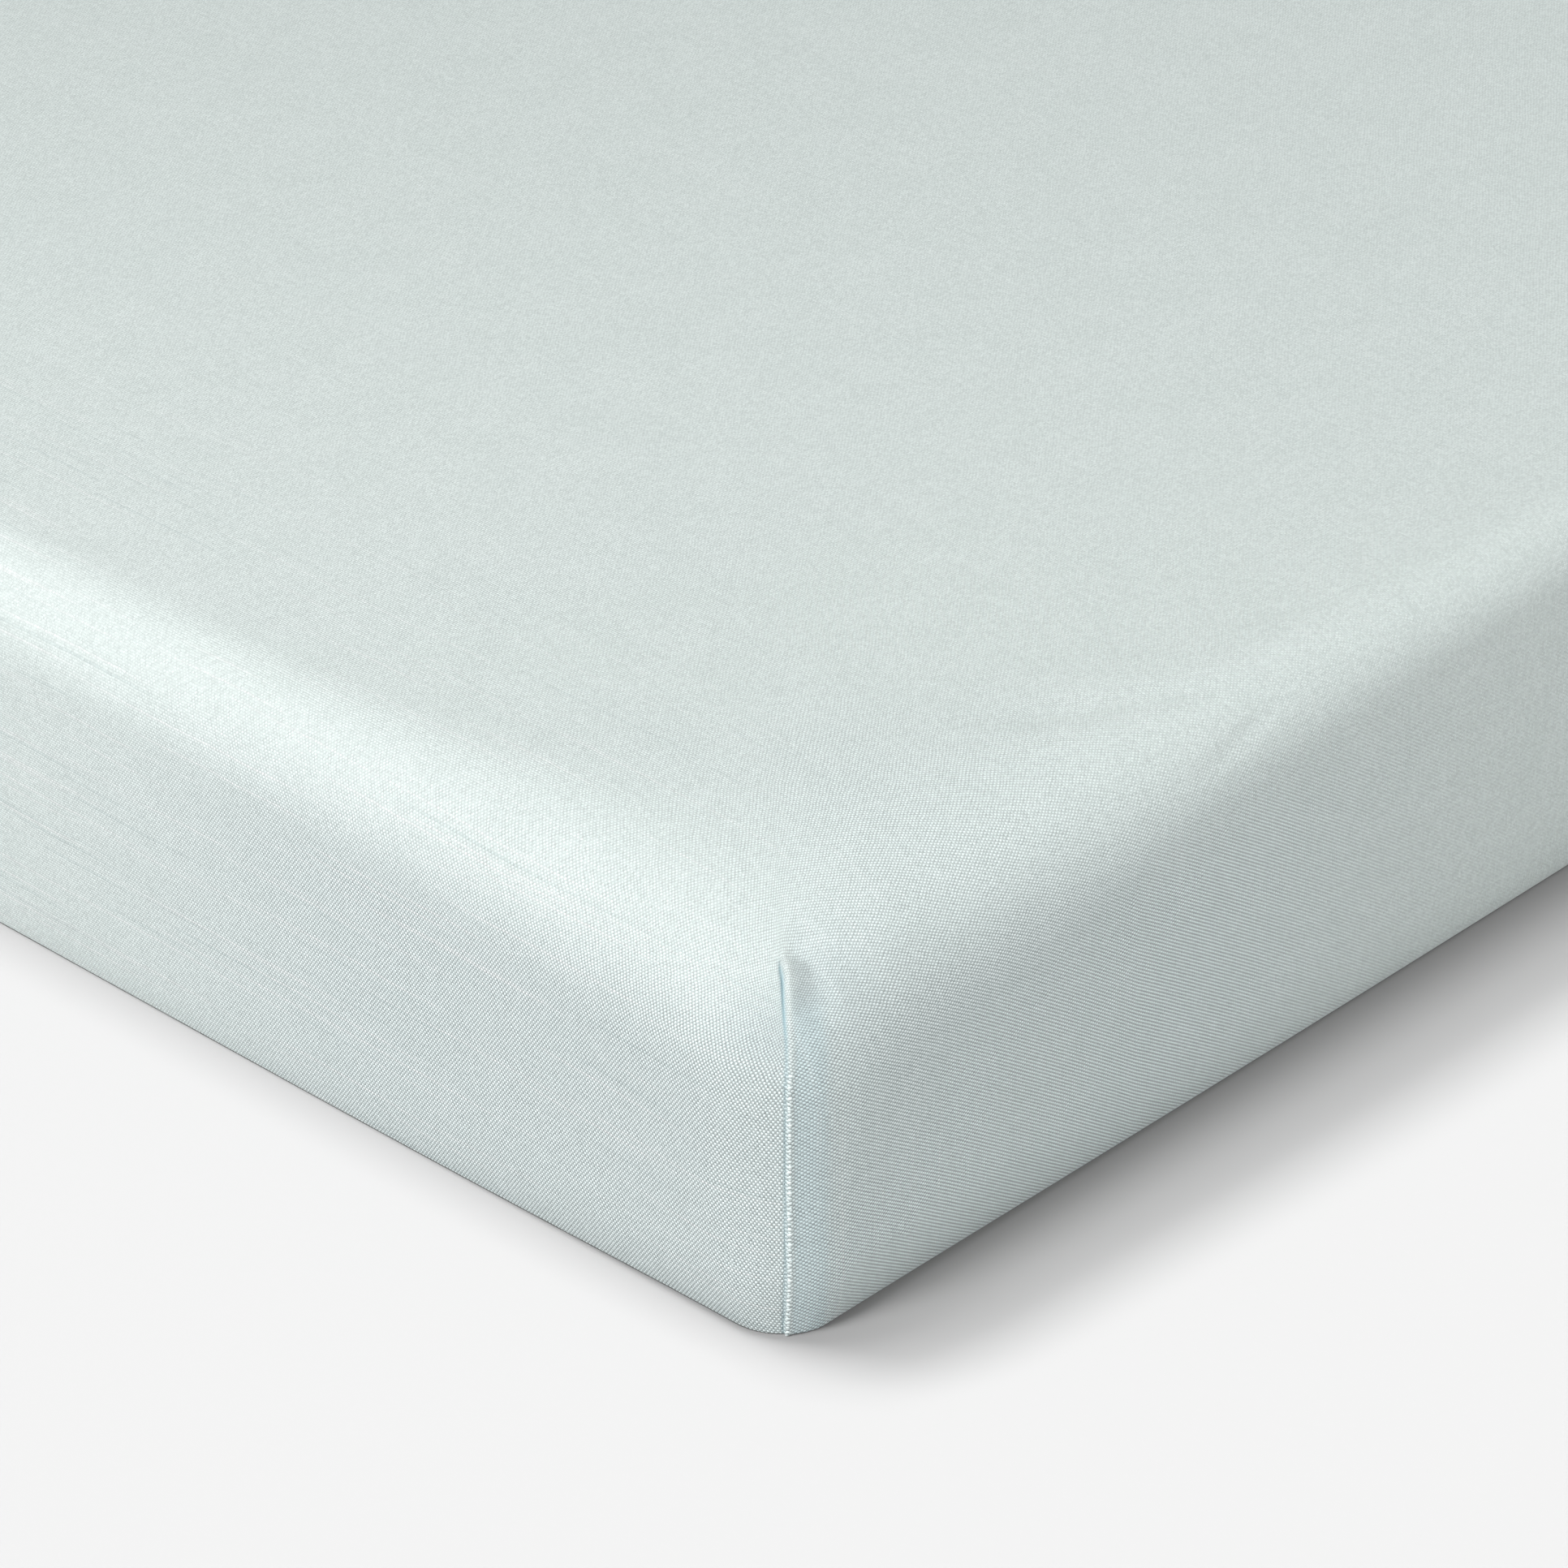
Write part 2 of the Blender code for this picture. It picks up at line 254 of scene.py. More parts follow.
# %% Rings that the cloth and the foam share; side_in is how far inside the outer face they lie
def ring(inset, height, side_in):
    return points(reach_out(CORNER_BOX - inset, plan_round(height) - side_in), height)


def shoulder(angle, side_in, down_in, softer=0.0):
    turn, power = math.radians(angle), 2 / square
    inset = side_in + (inward + softer - side_in) * (1 - math.sin(turn) ** power)
    height = HEIGHT - down_in - (drop + softer - down_in) * (1 - max(math.cos(turn), 0) ** power)
    return ring(inset, height, side_in)


def upright(height, side_in):
    return ring(side_in + tucked(height), height, side_in)


def heel(angle, side_in, floor, bend):
    turn = math.radians(angle)
    height = floor + bend * (1 - math.sin(turn))
    return ring(side_in + bend * (1 - math.cos(turn)) + tucked(height), height, side_in)


# %% The cloth's rows, each with how far it has turned down, from 0 degrees on top to 180 underneath
SMALLEST_BEND = 0.1 * MM


def crossing(share, skin):
    edge = reach_out(CORNER_BOX - inward, plan_round(HEIGHT) - skin)
    return points(share * edge, HEIGHT - skin), 0.0


def rounding(angle, skin):
    return shoulder(angle, skin, skin), angle


def wall(share, skin):
    high = HEIGHT - drop
    return upright(high + (FOOT_RADIUS - high) * share, skin), 90.0


def foot(angle, skin):
    return heel(angle, skin, skin, max(FOOT_RADIUS - skin, SMALLEST_BEND)), 90.0 + angle


def under(inset, height):
    return points(reach_out(CORNER_BOX - inset, FLAP_CORNER), height), 180.0


def eased(angle):
    """The inner face leaves room for the dents beside a pleat, and meets its neighbours at both ends."""
    return np.sqrt(np.maximum(np.sin(np.radians(2 * angle)), 0.0))


# %% Both faces of the cloth, and the hem's fold between them
TIP_BAND = (42.0, 74.0)  # degrees of the rounding in which the pleats' tips lie
HEM_EDGE = 1.0 * MM  # the folded edge turns over this distance
SEAM_ROOM = 0.9 * MM  # the inner face gives way by this much at a pleat
SEAM_ROOM_REACH = 18 * MM
hem_start = FLAP - HEM_WIDTH
outer = [crossing(share, 0) for share in np.linspace(0, 1, 15)[:-1]]
outer += [rounding(angle, 0) for angle in np.linspace(0, TIP_BAND[0], 9)]
outer += [rounding(angle, 0) for angle in np.linspace(*TIP_BAND, 19)[1:]]
outer += [rounding(angle, 0) for angle in np.linspace(TIP_BAND[1], 90, 7)[1:]]
outer += [wall(share, 0) for share in np.linspace(0, 1, 19)[1:-1]]
outer += [foot(angle, 0) for angle in np.linspace(0, 90, 5)]
outer += [under(inset, 0) for inset in np.linspace(14 * MM, hem_start, 6)]
outer += [under(FLAP - HEM_EDGE, 0)]
inner = [under(FLAP, HEM_THICKNESS / 2)]
inner += [under(FLAP - HEM_EDGE, HEM_THICKNESS), under(hem_start, HEM_THICKNESS)]
inner += [under(hem_start - HEM_THICKNESS, CLOTH)]
inner += [foot(angle, CLOTH) for angle in np.linspace(90, 0, 4)]
inner += [wall(share, CLOTH) for share in np.linspace(1, 0, 9)[1:-1]]
seam_room = np.where(at_corner, SEAM_ROOM * np.exp(-((away / SEAM_ROOM_REACH) ** 2)), 0.0)
inner += [rounding(angle, CLOTH + seam_room * eased(angle)) for angle in np.linspace(90, 0, 11)]
inner += [crossing(share, CLOTH) for share in (0.66, 0.33, 0.0)]
skin = np.array([row[0] for row in outer])
lining = np.array([row[0] for row in inner])
steep = np.array([row[1] for row in outer])
print(len(outer), "rows outside,", len(inner), "inside")

# %% [markdown]
# ## Where a point is along the seam
# The dart, its pleat and the small puckers beside it are placed by two distances: how far a point is from the
# seam, and how far down the cloth it is from the pleat's tip. Both are measured along the cloth.

# %% Distances down the cloth
step_down = np.linalg.norm(np.diff(skin, axis=0), axis=2)
down = np.vstack([np.zeros(COUNT), np.cumsum(step_down, axis=0)])
tip_angle = np.where(at_corner, np.array([c["tip"] for c in CORNERS])[corner_of.astype(int)], 45)
to_wall_top = np.arange(np.argmax(steep >= 90) + 1)
tip_row = np.interp(tip_angle, steep[to_wall_top], to_wall_top)
tip_down = np.array([np.interp(r, np.arange(len(outer)), down[:, k]) for k, r in enumerate(tip_row)])
fall = down - tip_down  # below the tip of the corner's pleat
aside = away * lean  # positive on the side that the seam is laid to
normal = np.cross(np.gradient(skin, axis=0), np.roll(skin, -1, axis=1) - np.roll(skin, 1, axis=1))
size = np.linalg.norm(normal, axis=2)[:, :, None]
normal = np.where(size > 1e-12, normal / np.maximum(size, 1e-12), [0.0, 0.0, 1.0])
tangent = np.column_stack([-out_xy[:, 1], out_xy[:, 0], np.zeros(COUNT)])
print(f"seam at the near corner: {fall[-1, 0] / MM:.0f} mm of cloth below the tip's height on the front")

# %% [markdown]
# ## The dart
# On the real sheet two edges are sewn together up each corner, and the spare cloth is laid to one side. What
# shows is a step: a narrow groove, then the folded edge, then a slight thickness that fades out. Where the
# seam begins, the cloth stands up in a small rounded pleat, with a dimple beside it.

# %% The dart's cross-section, in millimetres from the seam and shares of the ridge's height
DART_PROFILE = dict(
    away=[-6.0, -2.4, -0.9, -0.45, -0.18, 0.05, 0.3, 0.62, 1.0, 1.5, 2.2, 3.2, 4.4, 6.6, 8.6, 10.5],
    rise=[0.0, -0.04, -0.08, -0.12, -0.3, -0.16, 0.66, 1.0, 0.86, 0.5, 0.42, 0.38, 0.36, 0.32, 0.05, 0.0],
    tip_rise=[0.0, -0.04, -0.1, -0.12, -0.26, -0.14, 0.46, 0.84, 1.0, 1.0, 0.84, 0.5, 0.22, 0.02, 0.0, 0.0],
)
RIDGE = 0.62 * MM
TIP_RIDGE = 1.90 * MM
TIP_START = 1.4 * MM  # the pleat rises over this distance on both sides of its tip
TIP_LENGTH = 17 * MM  # how far down it sinks to the plain ridge
SEWN_FROM = 8 * MM  # from here to there its section turns to the sewn seam's
HEAD = dict(middle=1.2, reach=2.6)  # the pleat starts in a rounded head, in mm
PINCH = 0.8 * MM  # the seam stands up as a soft edge, and this much cloth is drawn up with it
PINCH_REACH = 8 * MM
PINCH_FADE = dict(start=30 * MM, foot=25 * MM)  # it grows below the tip and ends at the floor
MARKS_END = 30 * MM  # nothing of the dart is left this far from the seam
DEEPEST = 1.0 * MM  # a dent stays within the cloth's own thickness, and the room left for it

# The seam wanders a little to one side as it comes down, in millimetres
SEAM_LINE = dict(
    fall=[-1, 1.2, 3.4, 7.4, 11.4, 14.4, 18.0, 23.0, 41.0, 61.0, 72.0],
    aside=[-0.3, -0.15, 0.28, 0.33, 0.5, 0.74, 0.8, 0.46, 0.38, 0.4, 0.05],
)

# Small dents and bumps beside the seam, in millimetres: where they are across and along it, their size and
# rise, and their turn in degrees
DART_MARKS = [
    dict(away=6.2, fall=6.8, wide=3.2, long=5.2, turn=-30, rise=-1.70),  # the dimple
    dict(away=4.0, fall=0.2, wide=2.0, long=3.6, turn=-25, rise=-1.20),
    dict(away=6.0, fall=-3.4, wide=3.2, long=4.6, turn=-35, rise=-0.70),
    dict(away=15.0, fall=14.0, wide=8.0, long=9.5, turn=0, rise=-1.20),
    dict(away=3.0, fall=8.8, wide=1.6, long=3.0, turn=30, rise=-0.30),
    dict(away=10.0, fall=6.5, wide=2.2, long=5.0, turn=-25, rise=0.30),
    dict(away=5.4, fall=8.2, wide=0.6, long=3.0, turn=57, rise=0.16),  # a pucker
    dict(away=-1.3, fall=1.2, wide=0.7, long=2.2, turn=12, rise=-0.20),
    dict(away=0.9, fall=15.6, wide=1.3, long=0.35, turn=20, rise=-0.30),  # where the stitching starts
    dict(away=1.0, fall=16.6, wide=1.1, long=0.40, turn=20, rise=0.26),
    dict(away=2.4, fall=17.2, wide=1.5, long=0.50, turn=35, rise=-0.14),
]

# Faint creases elsewhere, in millimetres: where they start and end, their width and their rise
CREASES = [
    dict(start=(567.6, -208.2, 80.0), end=(574.5, -196.6, 79.8), wide=2.6, rise=-0.60),
    dict(start=(574.5, -196.6, 79.8), end=(585.2, -173.7, 78.6), wide=2.4, rise=-1.10),
    dict(start=(597.5, -181.0, 71.0), end=(596.0, -167.6, 74.0), wide=1.5, rise=-0.80),
    dict(start=(430.0, -297.5, 69.0), end=(398.0, -295.0, 73.0), wide=2.0, rise=-0.22),
    dict(start=(-548.0, 236.0, 80.0), end=(-569.0, 196.0, 79.5), wide=2.6, rise=-0.35),
    dict(start=(596.0, 150.0, 73.0), end=(598.5, 178.0, 68.0), wide=1.8, rise=-0.25),
    dict(start=(-240.0, 296.0, 73.0), end=(-205.0, 298.5, 66.0), wide=2.2, rise=-0.28),
]


# %% The shapes of a crease, the dart's height and a dent
def crease(mark, spots):
    """A soft trough or ridge along a straight line."""
    start, end = np.array(mark["start"]) * MM, np.array(mark["end"]) * MM
    along = np.clip((spots - start) @ (end - start) / ((end - start) @ (end - start)), 0, 1)
    off = np.linalg.norm(spots - start - along[..., None] * (end - start), axis=-1)
    return mark["rise"] * MM * np.exp(-((off / (mark["wide"] * MM)) ** 2))


def dart_height(fall):
    """The pleat stands up at its tip, then sinks to a plain ridge."""
    sunk = smooth(0, TIP_LENGTH, fall)
    return smooth(-TIP_START, TIP_START, fall) * (TIP_RIDGE + (RIDGE - TIP_RIDGE) * sunk)


def spread(mark, across, along):
    """1 in the middle of a mark, fading to 0 all round it."""
    c, s = math.cos(math.radians(mark["turn"])), math.sin(math.radians(mark["turn"]))
    x, y = across / MM - mark["away"], along / MM - mark["fall"]
    return np.exp(-(((c * x + s * y) / mark["wide"]) ** 2) - ((c * y - s * x) / mark["long"]) ** 2)


# %% Raise the dart on the outer face
seam_line = [np.array(column) * MM for column in SEAM_LINE.values()]
aside = aside - np.interp(fall, *seam_line)  # from here on, the distance to the seam itself
round_off = np.clip(1 - (fall / MM + 0.8) / HEAD["reach"], 0, 0.97)
headed = HEAD["middle"] * MM + (aside - HEAD["middle"] * MM) / np.sqrt(1 - round_off**2)
profile_away = np.array(DART_PROFILE["away"]) * MM
plain = np.interp(aside, profile_away, DART_PROFILE["rise"])
pleat = np.interp(headed, profile_away, DART_PROFILE["tip_rise"])
sewn = smooth(SEWN_FROM, TIP_LENGTH, fall)
foot_fade = np.where(steep > 90, np.cos(np.radians(np.clip(steep - 90, 0, 90))), 1.0)[:, None]
relief = (pleat + (plain - pleat) * sewn) * dart_height(fall) * foot_fade
low_fade = smooth(0, PINCH_FADE["foot"], skin[..., 2])
relief += PINCH * np.exp(-np.abs(aside) / PINCH_REACH) * smooth(0, PINCH_FADE["start"], fall) * low_fade
relief += sum(mark["rise"] * MM * spread(mark, aside, fall) for mark in DART_MARKS)
relief *= at_corner * smooth(MARKS_END, MARKS_END * 2 / 3, np.abs(away))
relief += sum(crease(mark, skin) for mark in CREASES)
deepest = DEEPEST + seam_room * np.where(steep <= 90, eased(steep), 0.0)[:, None]
relief = np.where(relief < 0, -deepest * np.tanh(-relief / deepest), relief)
print(f"dart stands {relief.max() / MM:.2f} mm proud at most")

# %% [markdown]
# ## Yarns that follow the cloth
# The weave is drawn in the UV map, which holds the place of each point on the flat cloth, in metres. Over a
# straight edge the cloth simply bends. Round a corner its direction turns: gradually over the dome, and all
# at once at the seam, where two different edges of the same cloth meet.

# %% Lay the cloth flat, row by row
TURN_DONE = 74.0  # degrees down at which each side's grain is its own up to the seam
TURN_BEND = 0.8
SEAM_EDGE = 0.004  # the share of a corner in which the grain turns, below the tip
TIP_BLEND = 6  # degrees past the tip in which it gets there


def grain(side_sign):
    """Direction of one step down the cloth, on the flat cloth, seen from one side of the seam."""
    power = np.clip(1 - steep / TURN_DONE, 0, 1)[:, None] ** TURN_BEND
    off = (45 - alpha) / 45
    least = SEAM_EDGE * smooth(tip_angle, tip_angle + TIP_BLEND, steep[:, None])
    size = np.maximum(np.abs(off), least + 1e-9)
    sign = np.where(np.abs(off) < 1e-6, side_sign, np.sign(off))
    lean_angle = np.radians(45 * (1 - sign * size ** np.maximum(power, 1e-3)))
    before = np.radians(np.array([side["faces"] for side in SIDES]))[side_of.astype(int)]
    heading = np.where(at_corner, before + lean_angle, before)
    return np.dstack([np.cos(heading), np.sin(heading)])


def lay_flat(rows, side_sign):
    steps = np.linalg.norm(np.diff(rows, axis=0), axis=2)[:, :, None]
    ways = grain(side_sign)
    middle = (ways[1:] + ways[:-1]) / 2
    middle /= np.linalg.norm(middle, axis=2)[:, :, None]
    start = rows[0, :, 0:2][None]
    return np.concatenate([start, start + np.cumsum(steps * middle, axis=0)])


# %% On the walls the grain runs level up to the seam, a little lower at the corner than along the side
WALL_SAG = 4 * MM
to_wall = smooth(50, 84, steep)[:, None, None]


def lay_walls(laid, side_sign):
    """Move the corners' walls from their laid place to the level one, in the two halves of each corner."""
    laid = laid.copy()
    last_wall = int(np.flatnonzero(steep <= 90)[-1])
    for corner in range(4):
        mine = np.flatnonzero(corner_of == corner)
        middle = len(mine) // 2
        halves = (mine[: middle + 1], corner, 1), (mine[middle:][::-1], (corner + 1) % 4, -1)
        for half, side, sign in halves:
            out, along = facing(SIDES[side]["faces"])
            gaps = np.linalg.norm(np.diff(skin[:, half], axis=1), axis=2)
            run = np.hstack([np.zeros((len(skin), 1)), np.cumsum(gaps, axis=1)])
            first = half[0]
            depth = np.repeat(down[:, first][:, None], len(half), axis=1)
            wall_z, wall_down = skin[: last_wall + 1, first, 2][::-1], down[: last_wall + 1, first][::-1]
            depth[: last_wall + 1] = np.interp(skin[: last_wall + 1][:, half, 2], wall_z, wall_down)
            depth -= WALL_SAG * (run / np.maximum(run[:, -1:], MM)) ** 2
            level = anchor_xy[first] + run[..., None] * sign * along + depth[..., None] * out
            moved = laid[:, half] * (1 - to_wall) + level * to_wall
            if sign != side_sign:
                half, moved = half[:-1], moved[:, :-1]
            laid[:, half] = moved
    return laid


flat_left, flat_right = (lay_walls(lay_flat(skin, sign), sign) for sign in (1.0, -1.0))
print(f"flat cloth {np.ptp(flat_left[..., 0]):.3f} x {np.ptp(flat_left[..., 1]):.3f} m to the hem's edge")

# %% [markdown]
# ## The mesh
# The rows are joined to their neighbours by four-sided faces, and the middle of the top is a plain grid whose
# edge points are the first row's. The inner face is built the same way, so that the piece is a closed sheet
# of real thickness.

# %% Join the rows into one closed surface
skin += relief[:, :, None] * normal
skin[..., 2] = np.maximum(skin[..., 2], 0.0)
column = np.array([int(np.argmin(np.abs(grid_x - x))) for x in anchor_xy[:, 0]])
line = np.array([int(np.argmin(np.abs(grid_y - y))) for y in anchor_xy[:, 1]])
GRID = len(grid_x) * len(grid_y)


def grid_points(height):
    x, y = np.meshgrid(grid_x, grid_y)
    return np.column_stack([x.ravel(), y.ravel(), np.full(GRID, height)])


def grid_index(i, j):
    return j * len(grid_x) + i


all_points = np.concatenate(
    [grid_points(HEIGHT), skin[1:].reshape(-1, 3), lining[:-1].reshape(-1, 3), grid_points(HEIGHT - CLOTH)]
)
first_row = grid_index(column, line)
row_index = [first_row]
row_index += [GRID + r * COUNT + np.arange(COUNT) for r in range(len(outer) - 1 + len(inner) - 1)]
row_index += [GRID + (len(outer) + len(inner) - 2) * COUNT + first_row]
after = (np.arange(COUNT) + 1) % COUNT


def between(upper, lower, k):
    """The corners of the face between two rows, from one station to the next."""
    return [int(p) for p in (upper[k], lower[k], lower[after[k]], upper[after[k]])]


# %% Its faces, each with its corners' places on the flat cloth
faces, face_uv = [], []
flat_inner = np.repeat(flat_left[-1][None], len(inner), axis=0)
uv_end = np.concatenate([flat_left, flat_inner])
uv_start = np.concatenate([flat_right, flat_inner])
for r, (upper, lower) in enumerate(zip(row_index, row_index[1:])):
    for k, n in enumerate(after):
        face = between(upper, lower, k)
        spots = [uv_start[r, k], uv_start[r + 1, k], uv_end[r + 1, n], uv_end[r, n]]
        keep = (0, 1, 2) if face[0] == face[3] else (0, 1, 3) if face[1] == face[2] else (0, 1, 2, 3)
        faces.append([face[i] for i in keep])
        face_uv += [spots[i] for i in keep]
lower_grid = len(all_points) - GRID
for j in range(len(grid_y) - 1):
    for i in range(len(grid_x) - 1):
        face = [grid_index(i, j), grid_index(i + 1, j), grid_index(i + 1, j + 1), grid_index(i, j + 1)]
        faces += [face, [lower_grid + p for p in reversed(face)]]
        face_uv += [all_points[p, 0:2] for p in face + face[::-1]]

# %% Values that the finish reads beside the seam: the folded allowance's tone and painted shade, and painted shade in the groove and beside the pleat
# Painted shade in the groove beside the seam: its place and width in mm, and the share lost where stitches
# start
GROOVE_SHADE = dict(aside=-0.15, wide=0.34, fade=0.55)  # in mm, and the share lost where stitches start
# Painted shade beside the pleat, in mm: one spot on the side that the seam is laid to, one on the other
PAINTED_SHADE_SPOTS = [
    dict(away=6.0, fall=4.5, wide=12.0, long=11.0, turn=0, share=1.00),
    dict(away=-2.5, fall=12.5, wide=9.0, long=7.5, turn=0, share=0.95),
]
# Darker and bluer over the folded allowance: partly the double cloth's own tone, partly painted shade of the
# step and the turn beside the seam
folded_shade = smooth(0.9 * MM, 2.0 * MM, aside) * smooth(9.2 * MM, 6.2 * MM, aside) * smooth(3 * MM, 12 * MM, fall)
painted_groove_shade = np.exp(-(((aside / MM - GROOVE_SHADE["aside"]) / GROOVE_SHADE["wide"]) ** 2)) * smooth(-0.5 * MM, 2.5 * MM, fall)
painted_groove_shade *= 1 - GROOVE_SHADE["fade"] * smooth(10 * MM, TIP_LENGTH, fall)
laid_side, other_side = (mark["share"] * spread(mark, aside, fall) for mark in PAINTED_SHADE_SPOTS)
painted_shade = np.where(aside > 0, laid_side * smooth(1.6 * MM, 3.4 * MM, aside), other_side)


# %% Values that it reads all over: how clearly the weave shows and how much painted shade it gets, and its single yarns
# The weave's clearness and its painted shade far from a corner, on the flat top, and what a corner adds on
# each side's crest
FAR_CLEAR, TOP_CLEAR, CREST_CLEAR, END_CREST_CLEAR = 0.15, 0.26, 0.10, 0.35


def clearness_and_shade(spots):
    """Strongest down the walls near the corners: the yarns' tilt, the painted shade and the painted sheen."""
    from_corner = np.hypot(np.abs(spots[:, 0]) - LENGTH / 2, np.abs(spots[:, 1]) - WIDTH / 2)
    near = FAR_CLEAR + (1 - FAR_CLEAR) * smooth(215 * MM, 95 * MM, from_corner)
    to_short_side = (WIDTH / 2 - np.abs(spots[:, 1])) - (LENGTH / 2 - np.abs(spots[:, 0]))
    crest = CREST_CLEAR + (END_CREST_CLEAR - CREST_CLEAR) * smooth(-25 * MM, 25 * MM, to_short_side)
    on_top = TOP_CLEAR + crest * smooth(120 * MM, 50 * MM, from_corner)
    return near * (on_top + (1 - on_top) * smooth(2 * MM, 30 * MM, HEIGHT - spots[:, 2]))


FAR_LINES = 0.15  # how much of the single yarns is left elsewhere


def lines(spots):
    """Single thick and dark yarns show best along the long edges, away from their ends."""
    from_side = WIDTH / 2 - np.abs(spots[:, 1])
    from_end = 2 * (LENGTH / 2 - np.abs(spots[:, 0])) + (HEIGHT - spots[:, 2])
    return FAR_LINES + (1 - FAR_LINES) * smooth(80 * MM, 15 * MM, from_side) * smooth(0, 140 * MM, from_end)


def on_outer_rows(values):
    """Values of the outer rows' points at the corners, and 0 at all other points."""
    rest = len(all_points) - GRID - values[1:].size
    return np.concatenate([np.zeros(GRID), (values * at_corner)[1:].ravel(), np.zeros(rest)])


def add_values(name, values):
    mesh.attributes.new(name, "FLOAT", "POINT")
    mesh.attributes[name].data.foreach_set("value", values)


# %% The sheet's mesh
mesh = shape("sheet", all_points, [], faces)
mesh.uv_layers.new(name="cloth").data.foreach_set("uv", np.array(face_uv).ravel())
mesh.shade_smooth()
add_values("clear", clearness_and_shade(all_points))
add_values("lines", lines(all_points))
for name, values in (("folded_shade", folded_shade), ("painted_groove_shade", painted_groove_shade), ("painted_shade", painted_shade)):
    add_values(name, on_outer_rows(values))
sheet = placed("cotton_sheet", mesh)
print(len(mesh.polygons), "faces in the sheet")

# %% [markdown]
# ## The foam block
# The mattress inside is plain cut foam, a little smaller than the cloth all round. It shows only from below,
# through the opening that the hem runs round. It is made from the same stations, so it always fits.

# %% Foam rows
FOAM_SIDE = sheet_high[0] - foam_high[0]
FOAM_DOWN = HEIGHT - foam_high[2]
FOAM_FLOOR = foam_low[2]
FOAM_FOOT = 4 * MM
FOAM_SOFTER = 2.5 * MM  # its shoulder is this much rounder than the cloth's
foam_rows = [shoulder(angle, FOAM_SIDE, FOAM_DOWN, FOAM_SOFTER) for angle in np.linspace(0, 90, 13)]
foam_rows += [upright(height * MM, FOAM_SIDE) for height in (27, 21, 16)]
foam_rows += [heel(angle, FOAM_SIDE, FOAM_FLOOR, FOAM_FOOT) for angle in np.linspace(0, 90, 6)]
foam_points = np.concatenate(foam_rows)
foam_index = np.arange(len(foam_points)).reshape(-1, COUNT)
foam_pairs = zip(foam_index, foam_index[1:])
foam_faces = [between(upper, lower, k) for upper, lower in foam_pairs for k in range(COUNT)]
foam_faces += [foam_index[0].tolist(), foam_index[-1][::-1].tolist()]
foam_mesh = shape("foam", foam_points, [], foam_faces)
foam_mesh.shade_smooth()
foam = placed("foam_block", foam_mesh)
print(len(foam_faces), "faces in the foam")

# %% [markdown]
# ## Stitches with Geometry Nodes
# One small tree makes every row of stitches. It walks along a path in equal steps, sets a short bead of
# thread at each step, turned across or along the path, and joins them. The path brings its own directions as
# attributes, so the beads lie on the cloth.

# %% Node helpers
def feed(tree, socket, value):
    """Links another node's socket, or sets a plain value."""
    if isinstance(value, bpy.types.NodeSocket):
        tree.links.new(value, socket)
    else:
        socket.default_value = value


def node(tree, kind, *values, **settings):
    """A new node with its settings, and what goes into its first inputs in order."""
    made = tree.nodes.new(kind)
    for name, value in settings.items():
        setattr(made, name, value)
    for socket, value in zip(made.inputs, values):
        feed(tree, socket, value)
    return made


def feed_named(tree, made, **values):
    for name, value in values.items():
        feed(tree, made.inputs[name], value)
    return made


def sums(tree, operation, *values):
    return node(tree, "ShaderNodeMath", *values, operation=operation).outputs[0]


def vector(tree, *values):
    return node(tree, "ShaderNodeCombineXYZ", *values).outputs[0]


# %% A row of stitches as a node tree
STITCH_INPUTS = dict(
    Path="Geometry", Pitch="Float", Long="Float", Wide="Float", High="Float", Tilt="Float", Seed="Int",
    Thread="Material",
)
BEAD_SIDES, BEAD_RINGS = 7, 4


